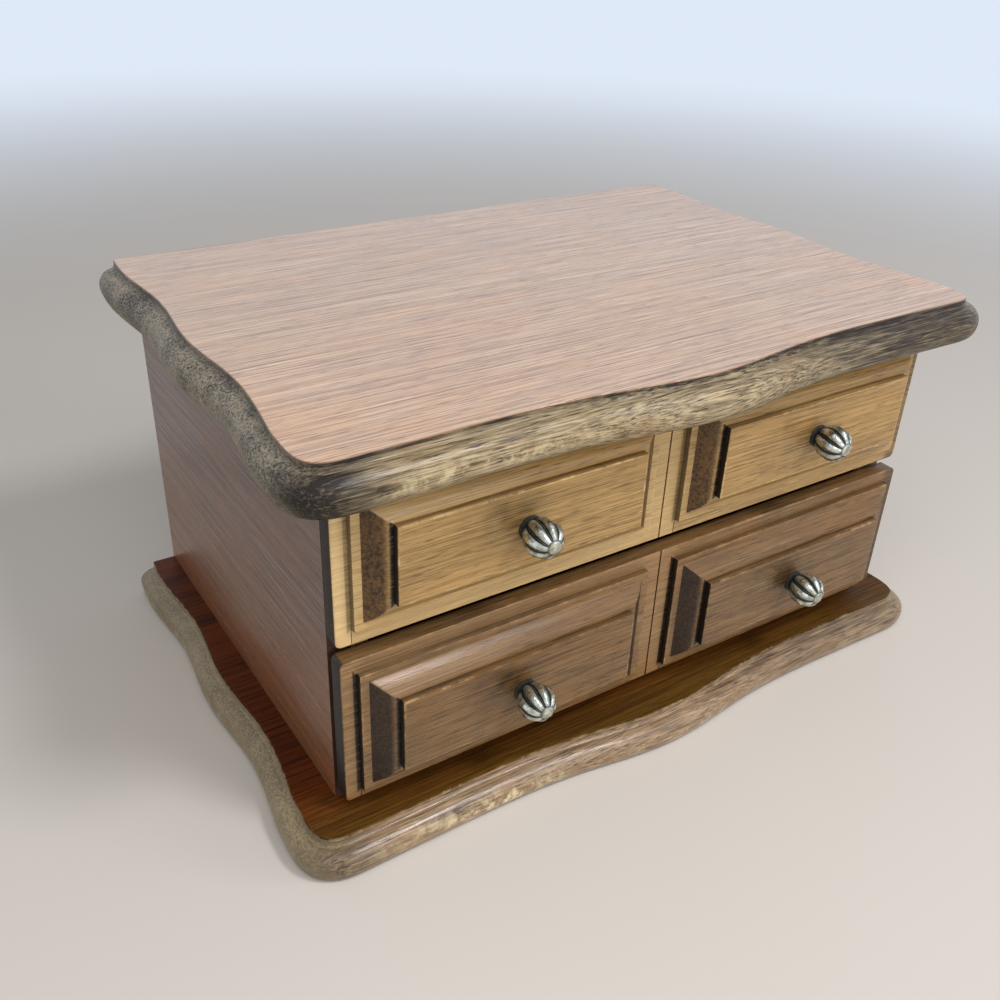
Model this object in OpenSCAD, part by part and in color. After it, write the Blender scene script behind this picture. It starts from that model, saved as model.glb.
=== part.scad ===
// Vanity box with a mirror in its hinged lid, a lined upper tray and one wide drawer.
// Millimetres. X is the width, -Y is the front, +Z is up, and z = 0 is the table.

/* [Case] */
// Width of the case over its side panels
case_w = 250; // [210:1:290]
// Depth of the side panels, front edge to back
case_d = 166; // [140:1:200]
// Height of the side panels
case_h = 121; // [112:1:150]
// Thickness of the side panels
side_t = 8; // [6:0.5:10]
// Thickness of the back panel
back_t = 8; // [7:0.5:10]
// Thickness of the plywood floor that the drawer runs on
floor_t = 4; // [3:0.5:6]
// Thickness of the plywood shelf under the tray
shelf_t = 3; // [2.5:0.5:5]
// Height and width of the cleats that carry the shelf
cleat = 6; // [4:0.5:8]

/* [Lid and base boards] */
// Thickness of the lid board
lid_t = 15; // [13:0.5:20]
// Thickness of the base board
base_t = 13; // [11:0.5:18]
// Overhang of the lid's top edge beyond the side panels
lid_over = 6.2; // [4:0.2:12]
// Overhang of the base's top edge beyond the side panels
base_over = 8.7; // [4:0.1:14]
// Overhang of both boards beyond the front face
front_over = 9.6; // [6:0.2:16]
// How far the middle of the front swells out
bulge = 6.8; // [0:0.2:10]
// Half width of that swelling
bulge_w = 38; // [25:1:50]
// Height of each wave along the sides
wave = 1.3; // [0:0.1:3]
// Length of each wave along the sides
wave_len = 74; // [60:1:100]
// Widening of the board from back to front
splay = 1.7; // [0:0.1:4]
// Extra flare at the front corners
corner_flare = 1.5; // [0:0.1:4]
// Depth of the square step under the top edge
step_h = 2.8; // [1:0.1:4]
// Width of the ledge at the foot of that step
step_w = 0.7; // [0.3:0.1:2]
// How far the round of the edge stands out
round_out = 6.4; // [4:0.1:9]
// Felt under the base
felt_t = 0.8; // [0.5:0.1:2]
// Margin of the felt inside the base's edge
felt_margin = 9; // [6:1:25]

/* [Fronts] */
// Thickness of the fronts at their flat rails
rail_t = 6.4; // [5:0.2:9]
// Height that the raised fields stand in front of the rails
field_rise = 9.4; // [6:0.2:12]
// Width of the moulding at the ends of each field
mould_w = 11; // [8:0.5:14]
// Width of the moulding above and below each field
mould_h = 9.8; // [7:0.2:11]
// Height of the outer step of the moulding
outer_step = 2.2; // [1:0.1:3]
// Height of the inner step at the field
inner_step = 2.4; // [1:0.1:3]
// Flat rail between the front's end and the moulding
stile_w = 5.5; // [3:0.5:9]
// Half width of the flat between the two mouldings
centre_w = 6.7; // [4:0.1:10]
// Width of the scored line up the centre
score_w = 0.7; // [0.4:0.1:1.2]
// Drawer front: top above the base board
drawer_top = 61.9; // [56:0.1:64]
// Drawer front: bottom above the base board
drawer_bottom = 5.1; // [5:0.1:8]
// Reveal between the drawer front and the fixed front
reveal = 4; // [2:0.5:6]
// Flat rail under the fields of the fixed front
upper_rail_b = 5.8; // [4:0.2:8]
// Flat rail over the fields of the fixed front
upper_rail_t = 2.3; // [1.5:0.1:5]
// Flat rail under the fields of the drawer front
lower_rail_b = 3.7; // [3:0.1:6]
// Flat rail over the fields of the drawer front
lower_rail_t = 5.3; // [3:0.1:7]
// Gap behind the drawer front when the drawer is home
front_gap = 2.4; // [0.5:0.1:4]

/* [Drawer] */
// Clearance at each side of the drawer
drawer_gap = 0.6; // [0.3:0.1:1.5]
// Clearance under the drawer
run_gap = 0.15; // [0.1:0.05:0.3]
// Clearance between the drawer and the back panel
stop_gap = 0.2; // [0.1:0.1:0.5]
// Thickness of the drawer's sides and back
box_t = 6; // [4:0.5:8]
// Height of the drawer's sides and back
box_h = 46; // [35:1:48]
// Thickness of the drawer's bottom
box_floor_t = 3; // [2:0.5:4]
// Thickness of the loose divider in the drawer
drawer_div_t = 4; // [3:0.5:6]
// Height of that divider
drawer_div_h = 30; // [15:1:34]
// Place of the divider, to the right of the centre
drawer_div_x = 38; // [0:1:70]

/* [Knobs] */
// Diameter of the fluted ball
knob_d = 13.2; // [10:0.2:18]
// Gap between the ball's back and the field
knob_stand = 0.6; // [0.4:0.1:4]
// Number of lobes round the ball
lobes = 8; // [6:1:10]
// Depth of the grooves between the lobes, as a part of the radius
groove = 0.16; // [0.05:0.01:0.25]
// Turn of the lobes from the neck to the tip, in degrees
twist = 24; // [0:1:60]
// Diameter of the neck
neck_d = 6; // [5:0.5:8]
// Diameter of the foot that sits on the field
foot_d = 8.4; // [7:0.2:11]
// Thickness of the foot
foot_t = 0.9; // [0.5:0.1:1.5]
// Diameter of the knob screw
screw_d = 3; // [2.5:0.1:3.5]
// Diameter of the knob screw's head
head_d = 6; // [5:0.2:7]
// Height of the knob screw's head
head_t = 2; // [1.5:0.1:2.5]
// Length of screw inside the knob
grip = 6; // [4:0.5:7]

/* [Mirror] */
// Space between the mirror's bead and the walls of the case
mirror_margin = 11; // [8:1:30]
// Thickness of the glass
mirror_t = 2.2; // [2:0.1:3]
// Thickness of the card behind the glass
card_t = 0.8; // [0.5:0.1:1.5]
// Width of the bead that holds the mirror
bead_w = 8; // [6:0.5:10]
// Thickness of that bead
bead_t = 3; // [2:0.5:4]
// How far the bead covers the glass
bead_lap = 3; // [2:0.5:4]
// Clearance round the glass and the card
mirror_gap = 0.3; // [0.2:0.1:1]

/* [Tray] */
// Thickness of the lined boards on the tray's walls
wall_pad_t = 1.6; // [1:0.1:3]
// Thickness of the padded boards on floors
floor_pad_t = 2; // [1:0.1:4]
// Distance of the wall lining's top below the rim
lining_drop = 6; // [3:0.5:20]
// Thickness of the tray's dividers
divider_t = 4; // [3:0.5:6]
// Height of the tray's dividers
divider_h = 30; // [15:1:36]
// Width of the bay that holds the ring rolls
ring_bay = 92; // [60:1:120]
// Diameter of each ring roll
roll_d = 14; // [10:0.5:16]
// Number of ring rolls
roll_count = 6; // [4:1:7]
// Thickness of the board under the ring rolls
ring_board_t = 9; // [4:0.5:14]
// Clearance round the loose padded pieces
pad_gap = 0.4; // [0.3:0.1:1]

/* [Hinges and screws] */
// Width of each hinge
hinge_w = 24; // [20:1:36]
// Distance of each hinge's middle from the side panel
hinge_inset = 35; // [20:1:60]
// Depth of the leaves on the wood
leaf_d = 6.5; // [5:0.5:7]
// Thickness of the leaves
leaf_t = 1; // [0.8:0.1:1.5]
// Diameter of the knuckles
knuckle_d = 4; // [3.6:0.1:5]
// Diameter of the hinge pins
pin_d = 1.6; // [1.2:0.1:2]
// Clearance between the back and the knuckles
knuckle_gap = 0.3; // [0.2:0.1:0.5]
// Clearance round the pins, on the radius
pin_gap = 0.05; // [0.03:0.01:0.1]
// Clearance between the two leaves and between knuckles
leaf_gap = 0.1; // [0.1:0.05:0.2]
// Diameter of the small hinge screws
leaf_screw_d = 1.6; // [1.2:0.1:2]
// Diameter of their countersunk heads
leaf_head_d = 3; // [2.4:0.1:3.4]
// Length of the small hinge screws
leaf_screw_l = 8; // [6:0.5:9]
// Diameter of the screws up through the base
base_screw_d = 3.5; // [3:0.1:4]
// Length of those screws in the side panels
base_screw_grip = 18; // [12:1:30]
// Distance of the base screws from the ends of the side panels
base_screw_inset = 28; // [15:1:50]

/* [Hidden] */

// Levels above the table
base_z = felt_t;
top_of_base = base_z + base_t;
rim_z = top_of_base + case_h;
lid_top = rim_z + lid_t;
drawer_z0 = top_of_base + drawer_bottom;
drawer_z1 = top_of_base + drawer_top;
upper_z0 = drawer_z1 + reveal;
upper_z1 = rim_z;
shelf_z = upper_z0;
shelf_top = shelf_z + shelf_t;
box_z = top_of_base + floor_t + run_gap;

// Places along the depth: everything is set from the fixed front's flat face
body_d = rail_t + case_d;
tip_angle = 8;
knob_reach = knob_stand + knob_d / 2;
knob_front = front_gap + field_rise + knob_reach + knob_d / 2 * cos(tip_angle);
board_front = front_over + bulge + round_out;
front_most = max(knob_front, board_front);
knuckle_y_out = knuckle_gap + knuckle_d / 2;
rear_most = body_d + knuckle_y_out + knuckle_d / 2;
face_y = (front_most - rear_most) / 2;
side_y = face_y + rail_t;
back_y = face_y + body_d;
back_in_y = back_y - back_t;
hinge_y = back_y + knuckle_y_out;
drawer_face_y = face_y - front_gap;
drawer_in_y = drawer_face_y + rail_t;
drawer_back_y = back_in_y - stop_gap;

// Inside widths
inner_w = case_w - 2 * side_t;
box_w = inner_w - 2 * drawer_gap;
tray_w = inner_w - 2 * wall_pad_t;
tray_y0 = side_y + wall_pad_t;
tray_y1 = back_in_y - wall_pad_t;
pad_top = shelf_top + floor_pad_t;
inner_d = case_d - back_t;
knob_x = (case_w / 2 - stile_w + centre_w) / 2;
hinge_x = inner_w / 2 - hinge_inset;

walnut = "#7a5236";
front_tan = "#a9804f";
drawer_brown = "#8d6240";
edge_olive = "#6d5c3d";
ply = "#c9a877";
velvet = "#6d1420";
brass = "#8e8a6c";
steel = "#9a9a98";

// ---------- serpentine outline of the lid and the base ----------

// A point on the side edge, at v behind the front face
function side_edge(over, v) = case_w / 2 + over + splay * (1 - v / body_d)
  + wave * cos(360 * (body_d - v) / wave_len - 70) + corner_flare * exp(-pow((v - 4) / 14, 2));
// A point on the front edge, at u from the centre line
function front_edge(u) = -front_over - bulge * exp(-pow(u / bulge_w, 2))
  - 0.9 * pow(u / 100, 2);
// Where the corner's curve starts on the side and on the front
corner_v = 6;
corner_u = case_w / 2 - 1;
side_steps = 26;
corner_steps = 7;
front_steps = 22;
function unit(p) = p / norm(p);
function bezier(a, b, c, d, t) = pow(1 - t, 3) * a + 3 * pow(1 - t, 2) * t * b
  + 3 * (1 - t) * t * t * c + pow(t, 3) * d;

// Right half of the outline, from the back to the middle of the front, v from the front face
function half_outline(over) = let (
    side = [for (i = [0:side_steps]) let (v = body_d + (corner_v - body_d) * i / side_steps)
      [side_edge(over, v), v]],
    front = [for (i = [0:front_steps]) let (u = (corner_u + over - lid_over) * (1 - i / front_steps))
      [u, front_edge(u)]],
    a = side[side_steps],
    d = front[0],
    reach = 0.55 * norm(d - a),
    b = a + reach * unit(a - side[side_steps - 1]),
    c = d + reach * unit(d - front[1]),
    corner = [for (i = [1:corner_steps - 1]) bezier(a, b, c, d, i / corner_steps)]
  ) concat(side, corner, front);

// Whole outline, clockwise seen from above, from the back right to the back left
function whole_outline(over) = let (
    right = half_outline(over),
    n = len(right)
  ) concat(right, [for (i = [n - 2:-1:0]) [-right[i][0], right[i][1]]]);

// Outward direction at point i, square to the back at the two ends
function outward(p, i) = let (n = len(p))
  i == 0 ? [1, 0] : i == n - 1 ? [-1, 0] : let (t = unit(p[i + 1] - p[i - 1])) [-t[1], t[0]];
function ring(p, out) = [for (i = [0:len(p) - 1]) let (q = p[i] + out * outward(p, i))
  [q[0], face_y + min(q[1], body_d)]];

// Edge profile from the underside to the top: [distance out, height]
round_steps = 7;
function edge_profile(t, foot) = let (
    shoulder = t - step_h,
    mid = shoulder * 0.46
  ) concat(
    [for (i = [0:3]) let (a = 90 * i / 4)
      [round_out - foot + foot * sin(a), mid * (1 - cos(a))]],
    [for (i = [0:round_steps]) let (a = 90 * i / round_steps)
      [step_w + (round_out - step_w) * cos(a), mid + (shoulder - mid) * sin(a)]],
    [[0, shoulder], [0, t]]
  );

// Slab with the serpentine outline and the moulded edge, underside at z = 0
module moulded_slab(over, t, foot) {
  p = whole_outline(over);
  profile = edge_profile(t, foot);
  n = len(p);
  rows = len(profile);
  rings = [for (k = [0:rows - 1]) for (q = ring(p, profile[k][0])) [q[0], q[1], profile[k][1]]];
  middle = face_y + body_d / 2;
  points = concat(rings, [[0, middle, 0], [0, middle, t]]);
  sides = [for (k = [0:rows - 2]) for (i = [0:n - 2])
    [k * n + i, k * n + i + 1, (k + 1) * n + i + 1, (k + 1) * n + i]];
  back = [concat([for (k = [0:rows - 1]) k * n], [for (k = [rows - 1:-1:0]) k * n + n - 1])];
  bottom = [for (i = [0:n - 1]) [(i + 1) % n, i, rows * n]];
  top = [for (i = [0:n - 1]) [(rows - 1) * n + i, (rows - 1) * n + (i + 1) % n, rows * n + 1]];
  polyhedron(points, concat(bottom, sides, back, top), convexity = 6);
}

// ---------- raised and moulded fronts ----------

// Moulding profile from its outer edge (0) to the field (1): [share of the width, rise]
cove_steps = 8;
cove_start = 0.27;
cove_end = 0.68;
ledge_rise = 0.4;
cove_h = field_rise - outer_step - inner_step - ledge_rise;
function moulding() = concat(
  [[0, 0], [0, outer_step]],
  [for (i = [0:cove_steps]) let (t = i / cove_steps)
    [cove_start + (cove_end - cove_start) * t, outer_step + cove_h * (1 - cos(180 * t)) / 2]],
  [[1, field_rise - inner_step], [1, field_rise]]
);
// Closed outline of a raised panel seen end on, from a to b, rising along the second axis
function panel_section(a, b, w) = let (m = moulding(), n = len(m)) concat(
  [[a, -rail_t / 2]],
  [for (i = [0:n - 1]) [a + w * m[i][0], m[i][1]]],
  [for (i = [n - 1:-1:0]) [b - w * m[i][0], m[i][1]]],
  [[b, -rail_t / 2]]
);
// One raised panel between x0 and x1, z0 and z1, standing in front of the face at y = 0
module raised_panel(x0, x1, z0, z1) {
  intersection() {
    translate([0, 0, z0 - 1])
      linear_extrude(z1 - z0 + 2)
        mirror([0, 1]) polygon(panel_section(x0, x1, mould_w));
    translate([x0 - 1, 0, 0]) rotate([90, 0, 90])
      linear_extrude(x1 - x0 + 2)
        mirror([1, 0]) polygon([for (p = panel_section(z0, z1, mould_h)) [p[1], p[0]]]);
  }
}
// Middle of the fields, where the knobs go
function field_mid(z0, z1, rail_b, rail_top) = (z0 + rail_b + z1 - rail_top) / 2;
upper_knob_z = field_mid(upper_z0, upper_z1, upper_rail_b, upper_rail_t);
lower_knob_z = field_mid(drawer_z0, drawer_z1, lower_rail_b, lower_rail_t);
head_pocket = head_t + 0.4;
head_gap = 0.3;
screw_gap = 0.2;

// A front board with two raised panels; its flat face is at y
module panelled_front(y, z0, z1, rail_b, rail_top, knob_z) {
  half = case_w / 2;
  difference() {
    translate([0, y, 0]) {
      translate([-half, 0, z0]) cube([case_w, rail_t, z1 - z0]);
      for (side = [-1, 1]) {
        x0 = side > 0 ? centre_w : stile_w - half;
        x1 = side > 0 ? half - stile_w : -centre_w;
        raised_panel(x0, x1, z0 + rail_b, z1 - rail_top);
      }
    }
    translate([-score_w / 2, y - 1, z0 - 1]) cube([score_w, 1.5, z1 - z0 + 2]);
    for (x = [-knob_x, knob_x]) translate([x, y, knob_z]) {
      knob_bore(rail_t + field_rise + 2, screw_d + 2 * screw_gap, field_rise + 1);
      translate([0, rail_t - head_pocket, 0]) rotate([-90, 0, 0])
        cylinder(h = head_pocket + 1, d = head_d + 2 * head_gap, $fn = 40);
    }
  }
}
module knob_bore(length, d, ahead) {
  translate([0, -ahead, 0]) rotate([-90, 0, 0]) cylinder(h = length, d = d, $fn = 40);
}

// ---------- knobs ----------

ball_rings = 13;
ball_facets = 6;
neck_angle = 152;
function lobe_factor(a) = 1 - groove * (1 - sqrt(abs(sin(lobes * a / 2))));
function ball_point(i, j) = let (
    n = lobes * ball_facets,
    f = tip_angle + (neck_angle - tip_angle) * j / ball_rings,
    a = 360 * i / n,
    r = knob_d / 2 * lobe_factor(a),
    turn = a + twist * (1 - j / ball_rings)
  ) [r * sin(f) * cos(turn), -knob_d / 2 * cos(f), r * sin(f) * sin(turn)];

// Fluted ball on a neck, with the field's face at y = 0 and the tip towards -Y
module knob(x, y, z) {
  n = lobes * ball_facets;
  points = [for (j = [0:ball_rings]) for (i = [0:n - 1]) ball_point(i, j)];
  sides = [for (j = [0:ball_rings - 1]) for (i = [0:n - 1]) let (k = (i + 1) % n)
    [j * n + i, j * n + k, (j + 1) * n + k, (j + 1) * n + i]];
  front = [[for (i = [n - 1:-1:0]) i]];
  back = [[for (i = [0:n - 1]) ball_rings * n + i]];
  translate([x, y, z]) difference() {
    union() {
      translate([0, -knob_reach, 0]) polyhedron(points, concat(front, sides, back), convexity = 6);
      rotate([90, 0, 0]) cylinder(h = knob_reach, d = neck_d, $fn = 40);
      rotate([90, 0, 0]) cylinder(h = foot_t, d = foot_d, $fn = 40);
    }
    translate([0, 1, 0]) rotate([90, 0, 0])
      cylinder(h = grip + 1.3, d = screw_d + 2 * pin_gap, $fn = 40);
  }
}
// Pan-head screw from the back of a front board into the knob
module knob_screw(x, y, z) {
  translate([x, y + rail_t - head_pocket, z]) {
    rotate([90, 0, 0]) cylinder(h = rail_t - head_pocket + field_rise + grip, d = screw_d, $fn = 40);
    difference() {
      rotate([-90, 0, 0]) cylinder(h = head_t, d = head_d, $fn = 40);
      translate([-head_d, head_t - 0.8, -0.4]) cube([2 * head_d, 1, 0.8]);
    }
  }
}

// ---------- base ----------

base_foot = 1.6;
lid_foot = 3.4;
base_head_d = 2 * base_screw_d;
head_sink = 0.1;
base_screw_x = (case_w - side_t) / 2;
module at_base_screws() {
  for (x = [-base_screw_x, base_screw_x])
    for (y = [side_y + base_screw_inset, back_y - base_screw_inset])
      translate([x, y, base_z]) children();
}
// Countersunk screw pointing up, or its hole when it starts below the board
base_head_h = base_screw_d * 0.6;
module base_screw_solid(extra, below) {
  d = base_screw_d + 2 * extra;
  flare = (base_head_d - base_screw_d) * (1 + below / base_head_h);
  translate([0, 0, -below]) {
    cylinder(h = base_t + base_screw_grip + below, d = d, $fn = 40);
    cylinder(h = base_head_h + below, d1 = d + flare, d2 = d, $fn = 40);
  }
}
// Felt: the base's outline drawn in by the margin on every side
module base_felt() {
  color("#2f4a35") linear_extrude(felt_t)
    polygon([for (q = whole_outline(base_over - felt_margin))
      [q[0], face_y + felt_margin + q[1] * (body_d - 2 * felt_margin) / body_d]]);
}
module base_board() {
  color(edge_olive) difference() {
    translate([0, 0, base_z]) moulded_slab(base_over, base_t, base_foot);
    at_base_screws() base_screw_solid(screw_gap, 0.5);
  }
}
module base_screws() {
  color(steel) at_base_screws() translate([0, 0, head_sink]) difference() {
    base_screw_solid(0, 0);
    translate([-base_head_d, -0.4, -0.5]) cube([2 * base_head_d, 0.8, 1.1]);
  }
}

// ---------- case ----------

module case_floor() {
  color(ply) translate([-inner_w / 2, side_y, top_of_base]) cube([inner_w, inner_d, floor_t]);
}
module side_panel(side) {
  x = side < 0 ? -case_w / 2 : case_w / 2 - side_t;
  difference() {
    translate([x, side_y, top_of_base]) cube([side_t, case_d, case_h]);
    at_base_screws() cylinder(h = base_t + base_screw_grip + 1, d = base_screw_d + 2 * pin_gap, $fn = 40);
  }
}
module side_left() {
  color(walnut) side_panel(-1);
}
module side_right() {
  color(walnut) side_panel(1);
}
module back_panel() {
  color(walnut) difference() {
    translate([-inner_w / 2, back_in_y, top_of_base]) cube([inner_w, back_t, case_h]);
    leaf_recess(rim_z - leaf_t);
    at_leaf_screws() translate([0, 0, -leaf_screw_l - 1])
      cylinder(h = leaf_screw_l + 1, d = leaf_screw_d + 2 * pin_gap, $fn = 32);
  }
}
module upper_front() {
  color(front_tan)
    panelled_front(face_y, upper_z0, upper_z1, upper_rail_b, upper_rail_t, upper_knob_z);
}
module shelf() {
  color(ply) translate([-inner_w / 2, side_y, shelf_z]) cube([inner_w, inner_d, shelf_t]);
}
module shelf_cleats() {
  color(ply) for (side = [0, 1]) mirror([side, 0, 0])
    translate([inner_w / 2 - cleat, side_y, shelf_z - cleat]) cube([cleat, inner_d, cleat]);
}

// ---------- tray ----------

tray_d = tray_y1 - tray_y0;
roll_pitch = roll_d + pad_gap;
front_bay_d = roll_count * roll_pitch + 2 * pad_gap;
long_div_y = tray_y0 + front_bay_d;
lining_h = rim_z - pad_top - lining_drop;
short_div_x = -tray_w / 2 + ring_bay;
module tray_floor_pad() {
  color(velvet) translate([-inner_w / 2, side_y, shelf_top])
    cube([inner_w, inner_d, floor_pad_t]);
}
module lining_board(x, y, w, d) {
  color(velvet) translate([x, y, pad_top]) cube([w, d, lining_h]);
}
module tray_lining_front() {
  lining_board(-inner_w / 2, side_y, inner_w, wall_pad_t);
}
module tray_lining_back() {
  lining_board(-inner_w / 2, tray_y1, inner_w, wall_pad_t);
}
module tray_lining_left() {
  lining_board(-inner_w / 2, tray_y0, wall_pad_t, tray_d);
}
module tray_lining_right() {
  lining_board(tray_w / 2, tray_y0, wall_pad_t, tray_d);
}
module tray_divider_long() {
  color(velvet) translate([-tray_w / 2 + pad_gap, long_div_y, pad_top])
    cube([tray_w - 2 * pad_gap, divider_t, divider_h]);
}
module tray_divider_short() {
  color(velvet) translate([short_div_x, tray_y0 + pad_gap, pad_top])
    cube([divider_t, front_bay_d - 2 * pad_gap, divider_h]);
}
ring_w = ring_bay - 2 * pad_gap;
module ring_cushion_board() {
  color(velvet) translate([-tray_w / 2 + pad_gap, tray_y0 + pad_gap, pad_top])
    cube([ring_w, front_bay_d - 2 * pad_gap, ring_board_t]);
}
module ring_rolls() {
  color(velvet) for (i = [0:roll_count - 1])
    translate([-tray_w / 2 + pad_gap, tray_y0 + pad_gap + roll_pitch * (i + 0.5),
        pad_top + ring_board_t + (roll_d + pad_gap) / 2])
      rotate([0, 90, 0]) cylinder(h = ring_w, d = roll_d, $fn = 48);
}

// ---------- hinges ----------

knuckle_l = (hinge_w - 2 * leaf_gap) / 3;
leaf_head_h = leaf_t * 0.7;
tongue_in = (leaf_d - leaf_head_d) / 2 - 4 * pin_gap;
screw_pitch = hinge_w * 0.55;
module at_hinges() {
  for (x = [-hinge_x, hinge_x]) translate([x, 0, 0]) children();
}
module at_leaf_screws() {
  at_hinges() for (x = [-screw_pitch / 2, screw_pitch / 2])
    translate([x, back_y - leaf_d / 2, rim_z]) children();
}
// Pocket for the leaves, let into the wood, lowest face at z
module leaf_recess(z) {
  at_hinges() translate([-hinge_w / 2, back_y - leaf_d, z]) cube([hinge_w, leaf_d + 1, leaf_t]);
}
// One knuckle centred at x, joined to its leaf by a tongue on the side given by up
module knuckle(x, up) {
  difference() {
    union() {
      translate([x - knuckle_l / 2, hinge_y, rim_z]) rotate([0, 90, 0])
        cylinder(h = knuckle_l, d = knuckle_d, $fn = 40);
      translate([x - knuckle_l / 2, back_y - tongue_in, up > 0 ? rim_z + leaf_gap / 2 : rim_z - leaf_t])
        cube([knuckle_l, hinge_y - back_y + tongue_in, leaf_t - leaf_gap / 2]);
    }
    translate([x - knuckle_l, hinge_y, rim_z]) rotate([0, 90, 0])
      cylinder(h = 2 * knuckle_l, d = pin_d + 2 * pin_gap, $fn = 40);
  }
}
module leaf_plate(z, up) {
  difference() {
    translate([-hinge_w / 2, back_y - leaf_d, z])
      cube([hinge_w, leaf_d - knuckle_gap, leaf_t - leaf_gap / 2]);
    for (x = [-screw_pitch / 2, screw_pitch / 2])
      translate([x, back_y - leaf_d / 2, up > 0 ? z : z + leaf_t - leaf_gap / 2])
        mirror([0, 0, up > 0 ? 0 : 1]) leaf_screw(pin_gap);
  }
}
// Countersunk screw with its head at z = 0, pointing up
module leaf_screw(extra) {
  cylinder(h = leaf_screw_l + extra, d = leaf_screw_d + 2 * extra, $fn = 32);
  cylinder(h = leaf_head_h, d1 = leaf_head_d + 2 * extra, d2 = leaf_screw_d + 2 * extra, $fn = 32);
}
knuckle_step = knuckle_l + leaf_gap;
module hinge_leaves_case() {
  color(brass) at_hinges() {
    leaf_plate(rim_z - leaf_t, -1);
    for (x = [-knuckle_step, knuckle_step]) knuckle(x, -1);
  }
}
module hinge_leaves_lid() {
  color(brass) at_hinges() {
    leaf_plate(rim_z + leaf_gap / 2, 1);
    knuckle(0, 1);
  }
}
module hinge_pins() {
  color(steel) at_hinges() translate([-hinge_w / 2, hinge_y, rim_z]) rotate([0, 90, 0])
    cylinder(h = hinge_w, d = pin_d, $fn = 40);
}
// Flush screws, driven down into the back panel or up into the lid
module leaf_screws(up) {
  color(steel) at_leaf_screws() mirror([0, 0, up > 0 ? 0 : 1]) translate([0, 0, leaf_gap / 2])
    leaf_screw(0);
}
module hinge_screws_case() {
  leaf_screws(-1);
}
module hinge_screws_lid() {
  leaf_screws(1);
}

// ---------- lid ----------

tray_mid_y = (tray_y0 + tray_y1) / 2;
mirror_recess = mirror_t + card_t;
bead_out_w = inner_w - 2 * mirror_margin;
bead_out_d = inner_d - 2 * mirror_margin;
mirror_w = bead_out_w - 2 * (bead_w - bead_lap);
mirror_d = bead_out_d - 2 * (bead_w - bead_lap);
module mirror_block(w, d, z, h) {
  translate([-w / 2, tray_mid_y - d / 2, z]) cube([w, d, h]);
}
module lid_board() {
  color(walnut) difference() {
    translate([0, 0, rim_z]) moulded_slab(lid_over, lid_t, lid_foot);
    mirror_block(mirror_w + 2 * mirror_gap, mirror_d + 2 * mirror_gap, rim_z - 1, mirror_recess + 1);
    leaf_recess(rim_z);
    at_leaf_screws() cylinder(h = leaf_screw_l + 1, d = leaf_screw_d + 2 * pin_gap, $fn = 32);
  }
}
module mirror_glass() {
  color("#c9d6dc") mirror_block(mirror_w, mirror_d, rim_z, mirror_t);
}
module mirror_card() {
  color("#8a7a5c") mirror_block(mirror_w, mirror_d, rim_z + mirror_t, card_t);
}
// Mitred strip of the bead along X, its outer edge out mm from the mirror's middle
module bead_strip(length, out) {
  color(walnut) translate([0, 0, rim_z - bead_t]) linear_extrude(bead_t)
    polygon([[-length / 2, -out], [length / 2, -out], [length / 2 - bead_w, bead_w - out],
      [bead_w - length / 2, bead_w - out]]);
}
module mirror_bead_front() {
  translate([0, tray_mid_y, 0]) bead_strip(bead_out_w, bead_out_d / 2);
}
module mirror_bead_back() {
  translate([0, tray_mid_y, 0]) rotate([0, 0, 180]) bead_strip(bead_out_w, bead_out_d / 2);
}
module mirror_bead_left() {
  translate([0, tray_mid_y, 0]) rotate([0, 0, -90]) bead_strip(bead_out_d, bead_out_w / 2);
}
module mirror_bead_right() {
  translate([0, tray_mid_y, 0]) rotate([0, 0, 90]) bead_strip(bead_out_d, bead_out_w / 2);
}

// ---------- drawer ----------

side_l = drawer_back_y - drawer_in_y;
module drawer_front() {
  color(drawer_brown)
    panelled_front(drawer_face_y, drawer_z0, drawer_z1, lower_rail_b, lower_rail_t, lower_knob_z);
}
module drawer_side(x) {
  translate([x, drawer_in_y, box_z]) cube([box_t, side_l, box_h]);
}
module drawer_side_left() {
  color(ply) drawer_side(-box_w / 2);
}
module drawer_side_right() {
  color(ply) drawer_side(box_w / 2 - box_t);
}
box_in_w = box_w - 2 * box_t;
box_in_d = side_l - box_t;
module drawer_back() {
  color(ply) translate([-box_in_w / 2, drawer_back_y - box_t, box_z]) cube([box_in_w, box_t, box_h]);
}
module drawer_floor() {
  color(ply) translate([-box_in_w / 2, drawer_in_y, box_z]) cube([box_in_w, box_in_d, box_floor_t]);
}
pad_z = box_z + box_floor_t;
module drawer_floor_pad() {
  color(velvet) translate([-box_in_w / 2 + pad_gap, drawer_in_y + pad_gap, pad_z])
    cube([box_in_w - 2 * pad_gap, box_in_d - 2 * pad_gap, floor_pad_t]);
}
module drawer_divider() {
  color(velvet) translate([drawer_div_x, drawer_in_y + pad_gap, pad_z + floor_pad_t])
    cube([drawer_div_t, box_in_d - 2 * pad_gap, drawer_div_h]);
}

// ---------- knobs in place ----------

upper_field_y = face_y - field_rise;
lower_field_y = drawer_face_y - field_rise;
module knob_upper_left() {
  color(brass) knob(-knob_x, upper_field_y, upper_knob_z);
}
module knob_upper_right() {
  color(brass) knob(knob_x, upper_field_y, upper_knob_z);
}
module knob_lower_left() {
  color(brass) knob(-knob_x, lower_field_y, lower_knob_z);
}
module knob_lower_right() {
  color(brass) knob(knob_x, lower_field_y, lower_knob_z);
}
module knob_screws_upper() {
  color(steel) for (x = [-knob_x, knob_x]) knob_screw(x, face_y, upper_knob_z);
}
module knob_screws_lower() {
  color(steel) for (x = [-knob_x, knob_x]) knob_screw(x, drawer_face_y, lower_knob_z);
}

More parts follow.
